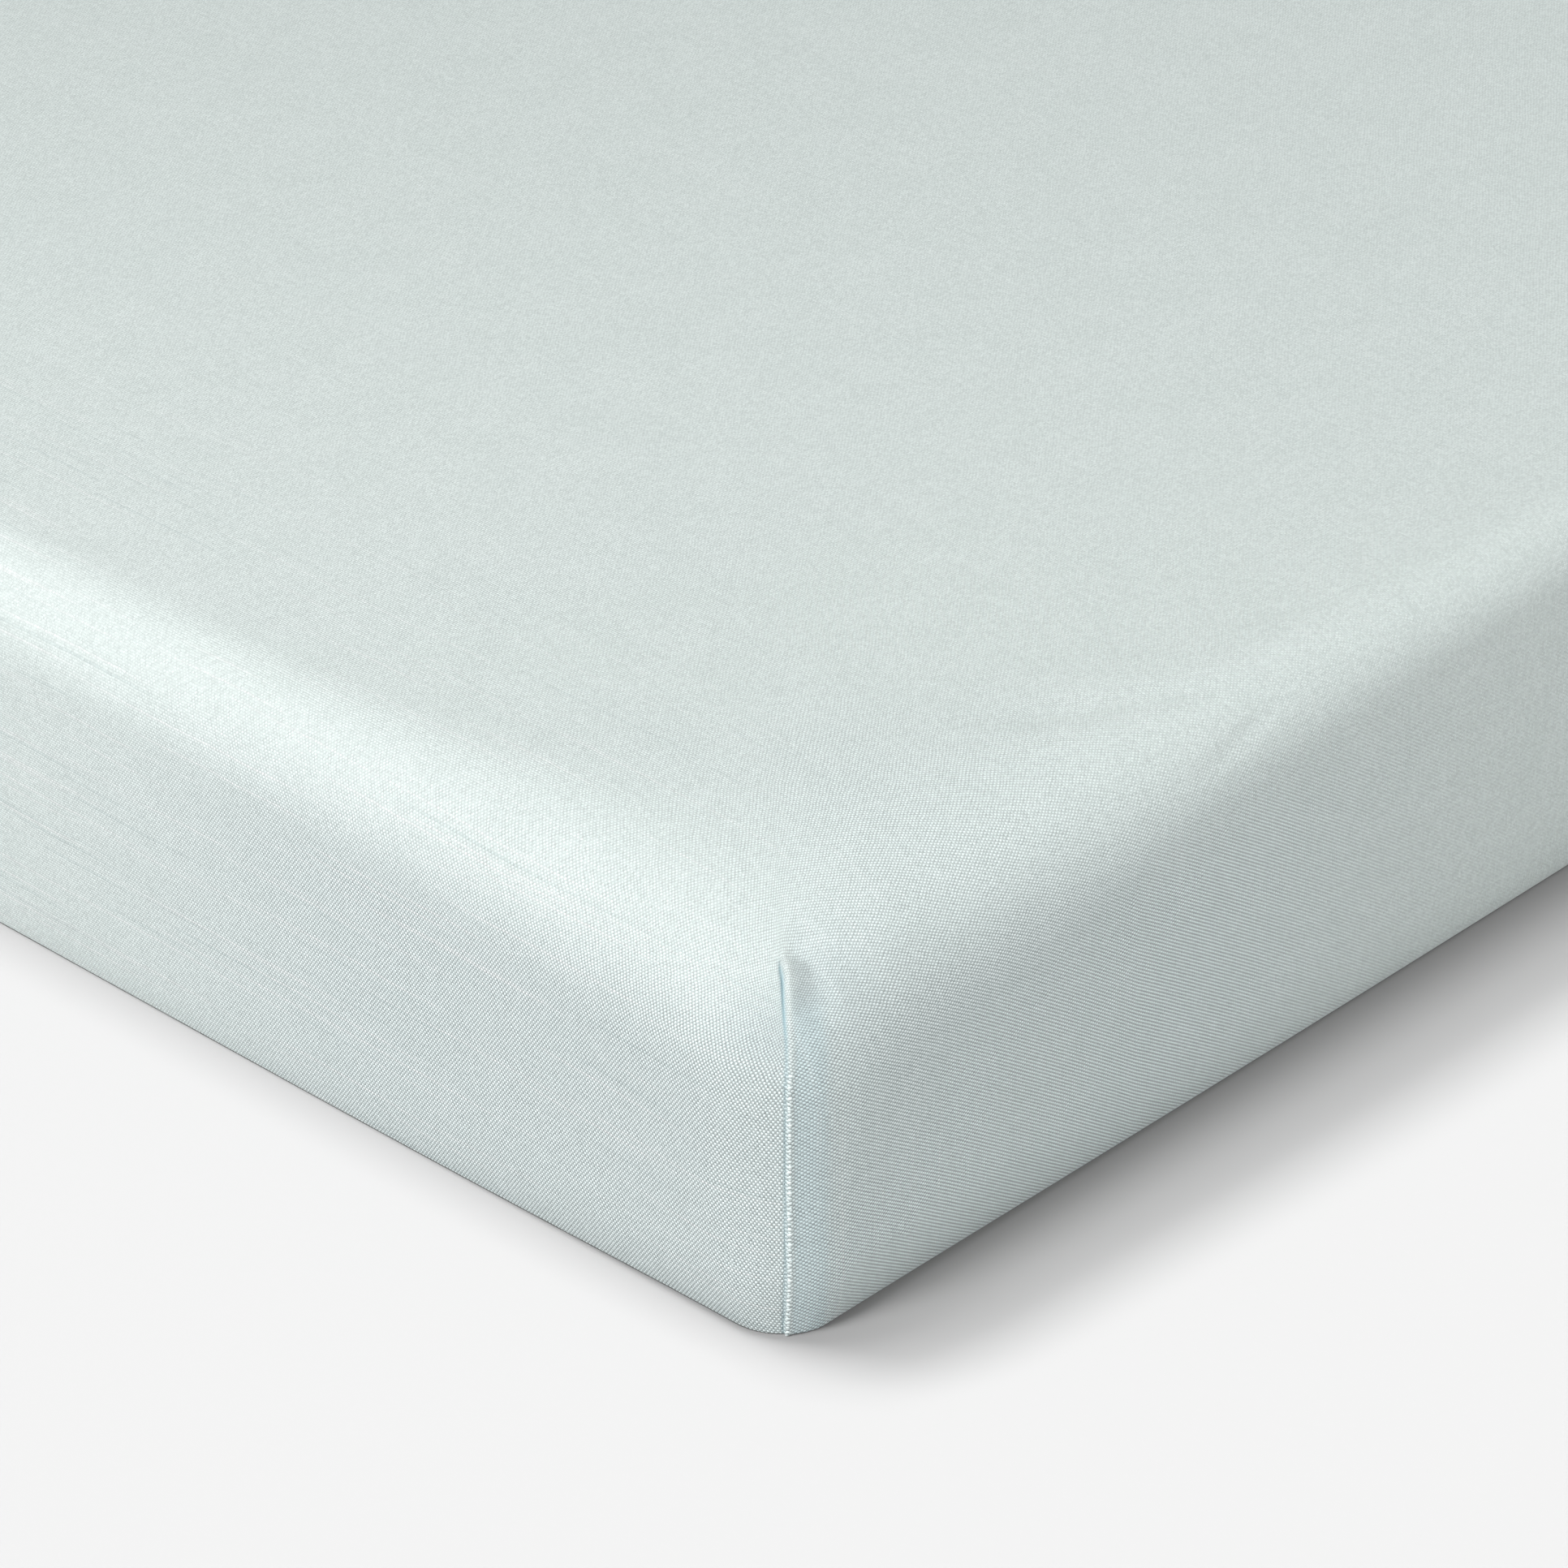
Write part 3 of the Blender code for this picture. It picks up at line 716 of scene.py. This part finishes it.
def stitch_tree():
    tree = bpy.data.node_groups.new("Row of stitches", "GeometryNodeTree")
    for name, kind in STITCH_INPUTS.items():
        tree.interface.new_socket(name, in_out="INPUT", socket_type="NodeSocket" + kind)
    tree.interface.new_socket("Stitches", in_out="OUTPUT", socket_type="NodeSocketGeometry")
    given, result = node(tree, "NodeGroupInput").outputs, node(tree, "NodeGroupOutput")

    def vary(low, high):
        """A random number for each stitch."""
        made = node(tree, "FunctionNodeRandomValue", data_type="FLOAT")
        for socket, value in ((2, low), (3, high), ("Seed", given["Seed"])):
            feed(tree, made.inputs[socket], value)
        return made.outputs[1]

    def turn_to(name, **settings):
        """Turns one axis of a stitch to the path's own direction of that name."""
        way = node(tree, "GeometryNodeInputNamedAttribute", data_type="FLOAT_VECTOR")
        way.inputs["Name"].default_value = name
        made = node(tree, "FunctionNodeAlignRotationToVector", **settings)
        return feed_named(tree, made, Vector=way.outputs["Attribute"])

    line = node(tree, "GeometryNodeMeshToCurve", given["Path"])
    steps = node(tree, "GeometryNodeResampleCurve", mode="LENGTH")
    feed_named(tree, steps, Curve=line.outputs["Curve"], Length=given["Pitch"])
    bead = node(tree, "GeometryNodeMeshUVSphere", BEAD_SIDES, BEAD_RINGS, 0.5)
    lie = turn_to("along_stitch", axis="X")
    stand = feed_named(tree, turn_to("outward", axis="Z", pivot_axis="X"), Rotation=lie.outputs["Rotation"])
    tilt = vary(sums(tree, "MULTIPLY", given["Tilt"], -1.0), given["Tilt"])
    spin = node(tree, "FunctionNodeEulerToRotation", vector(tree, 0.0, 0.0, tilt))
    turned = node(tree, "FunctionNodeRotateRotation", rotation_space="LOCAL")
    for socket, rotation in zip(turned.inputs, (stand, spin)):
        feed(tree, socket, rotation.outputs["Rotation"])
    sizes = vector(tree, given["Long"], given["Wide"], given["High"])
    size = node(tree, "ShaderNodeVectorMath", sizes, operation="SCALE")
    feed_named(tree, size, Scale=vary(0.8, 1.2))
    place = node(tree, "GeometryNodeInstanceOnPoints")
    feed_named(tree, place, Points=steps.outputs["Curve"], Instance=bead.outputs["Mesh"])
    feed_named(tree, place, Rotation=turned.outputs["Rotation"], Scale=size.outputs["Vector"])
    joined = node(tree, "GeometryNodeRealizeInstances", place.outputs["Instances"])
    soft = node(tree, "GeometryNodeSetShadeSmooth", joined.outputs["Geometry"])
    paint = node(tree, "GeometryNodeSetMaterial")
    feed_named(tree, paint, Geometry=soft.outputs["Geometry"], Material=given["Thread"])
    tree.links.new(paint.outputs["Geometry"], result.inputs["Stitches"])
    return tree


stitch_row = stitch_tree()
print("stitch tree has", len(stitch_row.nodes), "nodes")


# %% From paths to a finished piece
def stitched(name, paths, **settings):
    """paths: (points, directions along the thread, directions outwards, closed), one for each row."""
    places, edges, ways, outs = [], [], [], []
    for spots, thread_ways, out_ways, closed in paths:
        first = len(places)
        places += [tuple(p) for p in spots]
        ways += [tuple(w) for w in thread_ways]
        outs += [tuple(o) for o in out_ways]
        edges += [(first + i, first + i + 1) for i in range(len(spots) - 1)]
        if closed:
            edges.append((len(places) - 1, first))
    path = shape(name, places, edges, [])
    for attribute, values in (("along_stitch", ways), ("outward", outs)):
        path.attributes.new(attribute, "FLOAT_VECTOR", "POINT")
        path.attributes[attribute].data.foreach_set("vector", np.array(values, dtype=float).ravel())
    row = placed(name, path)
    modifier = row.modifiers.new("stitches", "NODES")
    modifier.node_group = stitch_row
    for item in stitch_row.interface.items_tree:
        if item.in_out == "INPUT" and item.name in settings:
            modifier[item.identifier] = settings[item.name]
    view = row.evaluated_get(bpy.context.evaluated_depsgraph_get())
    finished = bpy.data.meshes.new_from_object(view)
    row.modifiers.clear()
    row.data = finished
    bpy.data.meshes.remove(path)
    finished.name = name
    print(name, len(finished.polygons), "faces")
    return row


# %% [markdown]
# ## Finishes
# A weave is two sets of yarns that pass over and under each other. The group below works out the height of
# the upper yarn at each point from the cloth's UV map, and says where the small gaps between yarns lie. A few
# yarns along the sheet are thicker than the rest, which gives the cloth its faint lines.

# %% More helpers for finishes
def noise(tree, spot, scale, detail=2.0, roughness=0.5):
    made = node(tree, "ShaderNodeTexNoise")
    return feed_named(tree, made, Vector=spot, Scale=scale, Detail=detail, Roughness=roughness).outputs["Fac"]


def remap(tree, value, low, high, kind="SMOOTHSTEP"):
    """0 at low and 1 at high."""
    return node(tree, "ShaderNodeMapRange", value, low, high, 0.0, 1.0, interpolation_type=kind).outputs[0]


def blend(tree, factor, first, second, kind="MIX"):
    """From the first colour to the second; each is another node's socket or plain red, green and blue."""
    mix = node(tree, "ShaderNodeMix", data_type="RGBA", blend_type=kind)
    for socket, value in (("Factor", factor), ("A", first), ("B", second)):
        feed(tree, mix.inputs[socket], (*value, 1) if isinstance(value, tuple) else value)
    return mix.outputs["Result"]


def finish(name, **inputs):
    """A new material: its tree, and its shader with these plain inputs."""
    made = bpy.data.materials.new(name)
    made.use_nodes = True
    shader = made.node_tree.nodes["Principled BSDF"]
    for socket, value in inputs.items():
        shader.inputs[socket.replace("_", " ")].default_value = value
    return made, made.node_tree, shader


# %% The plain weave group
ROUND, CRIMP = 0.7, 0.35  # slope of the upper yarn's sides, and of its ends where it dives under
MEAN_TONE = 0.80
# Painted sheen and shade: the yarns on top along and across the sheet catch the light differently, drawn as
# tones
CHECKER = 0.28  # how much the yarns along the sheet are lighter than those across it, and these darker
YARN_TO_YARN = 0.12
UNEVEN = 0.14  # from one crossing to the next
GAP = 0.22


def plain_weave():
    tree = bpy.data.node_groups.new("Plain weave", "ShaderNodeTree")
    tree.interface.new_socket("Cloth", in_out="INPUT", socket_type="NodeSocketVector")
    for name in ("Pitch along", "Pitch across", "Wander", "Clear"):
        tree.interface.new_socket(name, in_out="INPUT", socket_type="NodeSocketFloat")
    tree.interface.new_socket("Lean", in_out="OUTPUT", socket_type="NodeSocketVector")
    for name in ("Gap", "Tone", "Light yarn", "Dark line"):
        tree.interface.new_socket(name, in_out="OUTPUT", socket_type="NodeSocketFloat")
    given, result = node(tree, "NodeGroupInput"), node(tree, "NodeGroupOutput")
    calc = partial(sums, tree)
    cloth = given.outputs["Cloth"]
    split = node(tree, "ShaderNodeSeparateXYZ", cloth)
    x, y = split.outputs["X"], split.outputs["Y"]
    sway = calc("SUBTRACT", noise(tree, cloth, 45.0), 0.5)
    shiver = calc("SUBTRACT", noise(tree, cloth, 420.0), 0.5)
    drift = calc("MULTIPLY_ADD", shiver, 0.35, sway)
    drift = calc("MULTIPLY", drift, given.outputs["Wander"])
    along = calc("DIVIDE", calc("ADD", x, drift), given.outputs["Pitch along"])
    across = calc("DIVIDE", calc("ADD", y, drift), given.outputs["Pitch across"])
    part_x, part_y = calc("FRACT", along), calc("FRACT", across)
    whole_x, whole_y = calc("FLOOR", along), calc("FLOOR", across)
    over = calc("COSINE", calc("MULTIPLY", calc("ADD", whole_x, whole_y), math.pi))

    def across_yarn(part):
        """From -1 at one edge of a yarn to 1 at the other."""
        return calc("MULTIPLY_ADD", part, 2.0, -1.0)

    def arch(middle):
        return calc("SUBTRACT", 1.0, calc("MULTIPLY", middle, middle))

    def of_yarn(number, place, apart, per_metre):
        """Noise that runs along each yarn and starts afresh at the next one."""
        spot = vector(tree, calc("MULTIPLY", place, per_metre), calc("MULTIPLY", number, apart))
        return noise(tree, spot, 1.0, 2.0, 0.6)

    def pick(down, along):
        made = node(tree, "ShaderNodeMix", data_type="FLOAT")
        for socket, value in zip(("Factor", "A", "B"), (down_is_up, along, down)):
            feed(tree, made.inputs[socket], value)
        return made.outputs[0]

    down_is_up = remap(tree, over, -0.01, 0.01, "LINEAR")
    side_x, side_y = across_yarn(part_x), across_yarn(part_y)
    slope_x = calc("MULTIPLY", side_x, pick(ROUND, CRIMP))
    slope_y = calc("MULTIPLY", side_y, pick(CRIMP, ROUND))
    height = calc("MULTIPLY", arch(side_x), arch(side_y))
    each = node(tree, "ShaderNodeTexWhiteNoise", vector(tree, whole_x, whole_y), noise_dimensions="2D")
    # painted sheen and shade: the yarns on top are drawn lighter one way and darker the other
    checker_sheen = calc("MULTIPLY", calc("MULTIPLY_ADD", down_is_up, -2.0, 1.0), given.outputs["Clear"])
    own_yarn = pick(of_yarn(whole_x, y, 17.3, 60.0), of_yarn(whole_y, x, 13.7, 60.0))
    own_yarn = calc("SUBTRACT", own_yarn, 0.5)
    own_place = calc("SUBTRACT", each.outputs["Value"], 0.5)
    tone = calc("MULTIPLY_ADD", checker_sheen, CHECKER, MEAN_TONE)
    tone = calc("MULTIPLY_ADD", own_yarn, YARN_TO_YARN, tone)
    tone = calc("MULTIPLY_ADD", own_place, UNEVEN, tone)
    light = remap(tree, of_yarn(whole_y, x, 7.31, 7.0), 0.57, 0.66)
    dark = remap(tree, of_yarn(whole_y, x, 5.17, 7.0), 0.60, 0.70)
    lean = vector(tree, *(calc("MULTIPLY_ADD", slope, 0.5, 0.5) for slope in (slope_x, slope_y)), 1.0)
    outputs = (lean, remap(tree, height, GAP, 0.02), tone, light, dark)
    for socket, value in zip(result.inputs, outputs):
        tree.links.new(value, socket)
    return tree


weave = plain_weave()


# %% The cotton
def cotton():
    made, tree, shader = finish(
        "sheet_cotton", Roughness=0.78, Specular_IOR_Level=0.25, Sheen_Weight=0.08, Sheen_Roughness=0.5
    )
    cloth = node(tree, "ShaderNodeUVMap", uv_map="cloth").outputs["UV"]
    clear, lined, folded_shade, painted_groove_shade, painted_shade = (
        node(tree, "ShaderNodeAttribute", attribute_name=name).outputs["Fac"]
        for name in ("clear", "lines", "folded_shade", "painted_groove_shade", "painted_shade")
    )
    woven = node(tree, "ShaderNodeGroup", node_tree=weave)
    yarns = {"Pitch along": 0.385 * MM, "Pitch across": 0.53 * MM, "Wander": 1.2 * MM}
    shows = feed_named(tree, woven, Cloth=cloth, Clear=clear, **yarns).outputs
    calc, times = partial(sums, tree), partial(sums, tree, "MULTIPLY")
    # painted shade in the gaps between the yarns, deepest where the weave shows most
    painted_gap_shade = times(shows["Gap"], calc("MULTIPLY_ADD", clear, 0.48, 0.14))
    cloud = remap(tree, noise(tree, cloth, 60.0, 4.0, 0.7), 0.3, 0.7)
    fluff = remap(tree, noise(tree, cloth, 1500.0, 2.0, 0.6), 0.3, 0.7)
    raised = calc("MINIMUM", calc("MULTIPLY_ADD", clear, 2.5, 0.5), 1.0)
    colour = blend(tree, cloud, (0.814, 0.893, 0.866), (0.836, 0.912, 0.887))
    layers = [
        dict(share=calc("SUBTRACT", 1.0, raised), tint=(0.870, 0.872, 0.872), kind="MULTIPLY"),
        # painted shade: the walls near the corners are drawn darker and bluer
        dict(share=clear, tint=(0.955, 0.958, 0.981), kind="MULTIPLY"),
        # painted shade beside the pleat
        dict(share=painted_shade, tint=(0.875, 0.883, 0.895), kind="MULTIPLY"),
        # the folded allowance's own tone with painted shade
        dict(share=folded_shade, tint=(0.925, 0.975, 1.0), kind="MULTIPLY"),
        dict(share=times(shows["Light yarn"], times(lined, 0.36)), tint=(1.0, 1.0, 1.0), kind="MIX"),
        dict(share=times(shows["Dark line"], times(lined, 0.28)), tint=(0.48, 0.58, 0.58), kind="MIX"),
        dict(share=1.0, tint=shows["Tone"], kind="MULTIPLY"),
        dict(share=painted_gap_shade, tint=(0.20, 0.30, 0.33), kind="MIX"),
        # painted shade in the groove
        dict(share=times(painted_groove_shade, 0.75), tint=(0.40, 0.60, 0.67), kind="MIX"),
        dict(share=times(fluff, 0.12), tint=(0.50, 0.60, 0.59), kind="MIX"),
    ]
    for layer in layers:
        colour = blend(tree, layer["share"], colour, layer["tint"], layer["kind"])
    tilted = node(tree, "ShaderNodeNormalMap", raised, shows["Lean"], space="TANGENT", uv_map="cloth")
    tree.links.new(colour, shader.inputs["Base Color"])
    tree.links.new(tilted.outputs["Normal"], shader.inputs["Normal"])
    return made


# %% The thread and the foam
def thread():
    made, tree, shader = finish("seam_thread", Roughness=0.7)
    place = node(tree, "ShaderNodeTexCoord").outputs["Object"]
    fuzz = remap(tree, noise(tree, place, 900.0), 0.3, 0.7)
    tint = blend(tree, fuzz, (0.74, 0.85, 0.85), (0.86, 0.93, 0.92))
    tree.links.new(tint, shader.inputs["Base Color"])
    return made


def cut_foam():
    made, tree, shader = finish("mattress_foam", Roughness=0.95)
    place = node(tree, "ShaderNodeTexCoord").outputs["Object"]
    cells = node(tree, "ShaderNodeTexVoronoi")
    cells = feed_named(tree, cells, Vector=place, Scale=900.0).outputs["Distance"]
    tint = blend(tree, remap(tree, cells, 0.05, 0.75), (0.90, 0.89, 0.85), (0.74, 0.72, 0.66))
    bump = feed_named(tree, node(tree, "ShaderNodeBump"), Strength=0.7, Distance=0.4 * MM, Height=cells)
    tree.links.new(tint, shader.inputs["Base Color"])
    tree.links.new(bump.outputs["Normal"], shader.inputs["Normal"])
    return made


sheet.data.materials.append(cotton())
thread_finish = thread()
foam.data.materials.append(cut_foam())


# %% [markdown]
# ## The two kinds of stitching
# Down each dart the yarns wrap round the folded edge, which reads as a row of small beads about a millimetre
# apart. The hem has an ordinary row of stitches, sunk a little into the cloth underneath.

# %% Beads down the seams
def across_seam(corner, offset):
    """The outer face's points and directions at one distance from the seam, for every row."""
    mine = np.flatnonzero(corner_of == corner)
    order = mine[np.argsort(away[mine] * lean[mine])]

    def read(values):
        pairs = list(zip(aside[:, order], values[:, order]))
        return np.array([[np.interp(offset, off, value[:, i]) for i in range(3)] for off, value in pairs])

    return read(skin), read(normal), CORNERS[corner]["lean"] * read(np.broadcast_to(tangent, skin.shape))


SEAM_BEADS_FROM = 19 * MM  # below the pleat's tip
BEAD_ASIDE, BEAD_OUT = 0.58 * MM, 0.02 * MM
bead_paths = []
for corner in range(4):
    spots, outs, ways = across_seam(corner, BEAD_ASIDE)
    middle = int(np.argmin(np.where(corner_of == corner, np.abs(away), 1)))
    use = (fall[:, middle] > SEAM_BEADS_FROM) & (steep <= 150)
    bead_paths.append((spots[use] + outs[use] * BEAD_OUT, ways[use], outs[use], False))
beads = stitched(
    "seam_beads", bead_paths,
    Pitch=1.06 * MM, Long=0.95 * MM, Wide=0.52 * MM, High=0.26 * MM, Tilt=0.30, Seed=4, Thread=thread_finish,
)

# %% Stitches round the hem
STITCH_IN, STITCH_SUNK = hem_start + 1.2 * MM, 0.12 * MM
hem_line = under(STITCH_IN, STITCH_SUNK)[0]
ahead = np.roll(hem_line, -1, axis=0) - np.roll(hem_line, 1, axis=0)
ahead /= np.maximum(np.linalg.norm(ahead, axis=1), 1e-9)[:, None]
hem_stitches = stitched(
    "hem_stitches", [(hem_line, ahead, np.tile([0.0, 0.0, -1.0], (COUNT, 1)), True)],
    Pitch=3.0 * MM, Long=2.3 * MM, Wide=0.5 * MM, High=0.22 * MM, Tilt=0.05, Seed=9, Thread=thread_finish,
)

# %% [markdown]
# ## Floor, light and camera
# The photo was lit softly from the front left, by a lamp close enough to fade along the sheet's side, with a
# weaker one behind on the right and a bright ceiling. Its pale floor is almost white. Lights of its own make
# the floor bright and give it the soft shadow that falls to the right, and the floor sends little light back
# to the object, as a floor further from the lamps would.

# %% The camera may see one shader, and every other ray meets another
def eye_or_light(tree, seen, lit, output):
    kinds = ("ShaderNodeLightPath", "ShaderNodeMixShader", output)
    ray, choose, surface = (node(tree, kind) for kind in kinds)
    for socket, source in zip(choose.inputs, (ray.outputs["Is Camera Ray"], lit.outputs[0], seen.outputs[0])):
        tree.links.new(source, socket)
    tree.links.new(choose.outputs[0], surface.inputs["Surface"])


def grey(tone):
    return (tone, tone, tone, 1)


# %% The floor
FLOOR_REACH = 20.0
FLOOR_TONE = 0.11
BOUNCE_TONE = 0.0475
floor_spots = [(x * FLOOR_REACH, y * FLOOR_REACH, 0) for x, y in ((-1, -1), (1, -1), (1, 1), (-1, 1))]
floor_mesh = shape("floor", floor_spots, [], [(0, 1, 2, 3)])
floor = placed("floor", floor_mesh)
paint = bpy.data.materials.new("floor_paint")
paint.use_nodes = True
tree = paint.node_tree
tree.nodes.clear()
seen, bounced = (node(tree, "ShaderNodeBsdfDiffuse", grey(tone)) for tone in (FLOOR_TONE, BOUNCE_TONE))
eye_or_light(tree, seen, bounced, "ShaderNodeOutputMaterial")
floor_mesh.materials.append(paint)

# %% The ceiling: bright overhead and dark at the horizon
CEILING = 0.988
FLOOR_WHITE = 0.905
world = bpy.data.worlds.new("studio")
bpy.context.scene.world = world
world.use_nodes = True
tree = world.node_tree
tree.nodes.clear()
split = node(tree, "ShaderNodeSeparateXYZ", node(tree, "ShaderNodeTexCoord").outputs["Generated"])
overhead = sums(tree, "MULTIPLY", sums(tree, "MAXIMUM", split.outputs["Z"], 0.0), CEILING)
ceiling = node(tree, "ShaderNodeBackground", grey(1), overhead)
backdrop = node(tree, "ShaderNodeBackground", grey(FLOOR_WHITE))
eye_or_light(tree, backdrop, ceiling, "ShaderNodeOutputWorld")


# %% Lamps for the object, and suns for the floor alone
def group_of(name, *members):
    made = bpy.data.collections.new(name)
    for member in members:
        made.objects.link(member)
    return made


def lamp(name, data, from_direction, distance, lights):
    """A lamp that points at the near corner and lights only one group of pieces."""
    made = placed(name, data)
    direction = Vector(from_direction).normalized()
    made.location = near_corner + direction * distance
    made.rotation_mode = "QUATERNION"
    made.rotation_quaternion = direction.to_track_quat("Z", "Y")
    made.visible_camera = False
    made.light_linking.receiver_collection = lights
    return made


near_corner = Vector((LENGTH / 2, -WIDTH / 2, 0.0))
SOFT_BOXES = [
    dict(name="key", x=-0.30, y=-0.95, z=0.45, distance=0.9, size=0.45, watts=6.42),
    dict(name="rear_fill", x=0.90, y=0.10, z=0.60, distance=4.0, size=1.80, watts=79.5),
]
the_object = group_of("the_object", sheet, foam, beads, hem_stitches)
for box in SOFT_BOXES:
    disk = bpy.data.lights.new(box["name"], "AREA")
    disk.shape, disk.size, disk.energy = "DISK", box["size"], box["watts"]
    lamp(box["name"], disk, (box["x"], box["y"], box["z"]), box["distance"], the_object)

FLOOR_SUNS = [
    dict(name="floor_side", x=-0.48, y=-0.08, spread=13, share=0.185),
    dict(name="floor_side_high", x=-0.30, y=-0.08, spread=12, share=0.125),
    dict(name="floor_side_back", x=-0.45, y=0.08, spread=12, share=0.120),
    dict(name="floor_front", x=-0.09, y=-0.40, spread=16, share=0.240),
    dict(name="floor_high", x=-0.15, y=0.08, spread=12, share=0.055),
    dict(name="floor_even", x=0.00, y=0.00, spread=30, share=0.114),
]
floor_only = group_of("the_floor", floor)
needed = math.pi * (FLOOR_WHITE / FLOOR_TONE - CEILING * 2 / 3) / sum(sun["share"] for sun in FLOOR_SUNS)
for sun in FLOOR_SUNS:
    data = bpy.data.lights.new(sun["name"], "SUN")
    data.angle = math.radians(sun["spread"])
    data.energy = needed * sun["share"] / Vector((sun["x"], sun["y"], 1.0)).normalized().z
    made = lamp(sun["name"], data, (sun["x"], sun["y"], 1.0), 3.0, floor_only)
    if sun["name"] == "floor_even":
        made.light_linking.blocker_collection = floor_only

# %% [markdown]
# ## The camera
# The picture is a close view of one corner with a long lens. The near corner's foot is at a known place in
# the photo, so the camera is set back from that point along its own line of sight, then moved sideways until
# the point falls where it should.

# %% Camera
PHOTO = 1932  # pixels each way
FOCAL_PIXELS = 8000
PIXELS_PER_MM = 6.92  # at the near corner
AZIMUTH, ELEVATION = 43.2, 30.9
CORNER_PIXEL = (967.5, 1676)  # where the sides' planes and the floor meet
a, e = math.radians(AZIMUTH), math.radians(ELEVATION)
sight = Vector((-math.cos(e) * math.sin(a), math.cos(e) * math.cos(a), -math.sin(e)))
right = Vector((math.cos(a), math.sin(a), 0))
up = right.cross(sight)
distance = FOCAL_PIXELS / PIXELS_PER_MM * MM
off_x, off_y = ((CORNER_PIXEL[i] - PHOTO / 2) / FOCAL_PIXELS * distance for i in (0, 1))
camera_data = bpy.data.cameras.new("camera")
camera_data.sensor_width = 36.0
camera_data.lens = camera_data.sensor_width * FOCAL_PIXELS / PHOTO
camera_data.clip_start, camera_data.clip_end = 0.05, 100.0
camera = placed("camera", camera_data)
turn = Matrix((right, up, -sight)).transposed().to_4x4()
camera.matrix_world = Matrix.Translation(near_corner - sight * distance - right * off_x + up * off_y) @ turn
bpy.context.scene.camera = camera
bpy.context.scene.view_settings.view_transform = "Standard"
print(f"camera {distance:.2f} m from the near corner, lens {camera_data.lens:.0f} mm")

# %% [markdown]
# ## The pieces on one body
# Every piece rides on the one body, and the sheet and the mattress from the model are hidden.

for piece in (sheet, foam, beads, hem_stitches):
    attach(piece, "root")
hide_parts("fitted_sheet")
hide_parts("mattress")
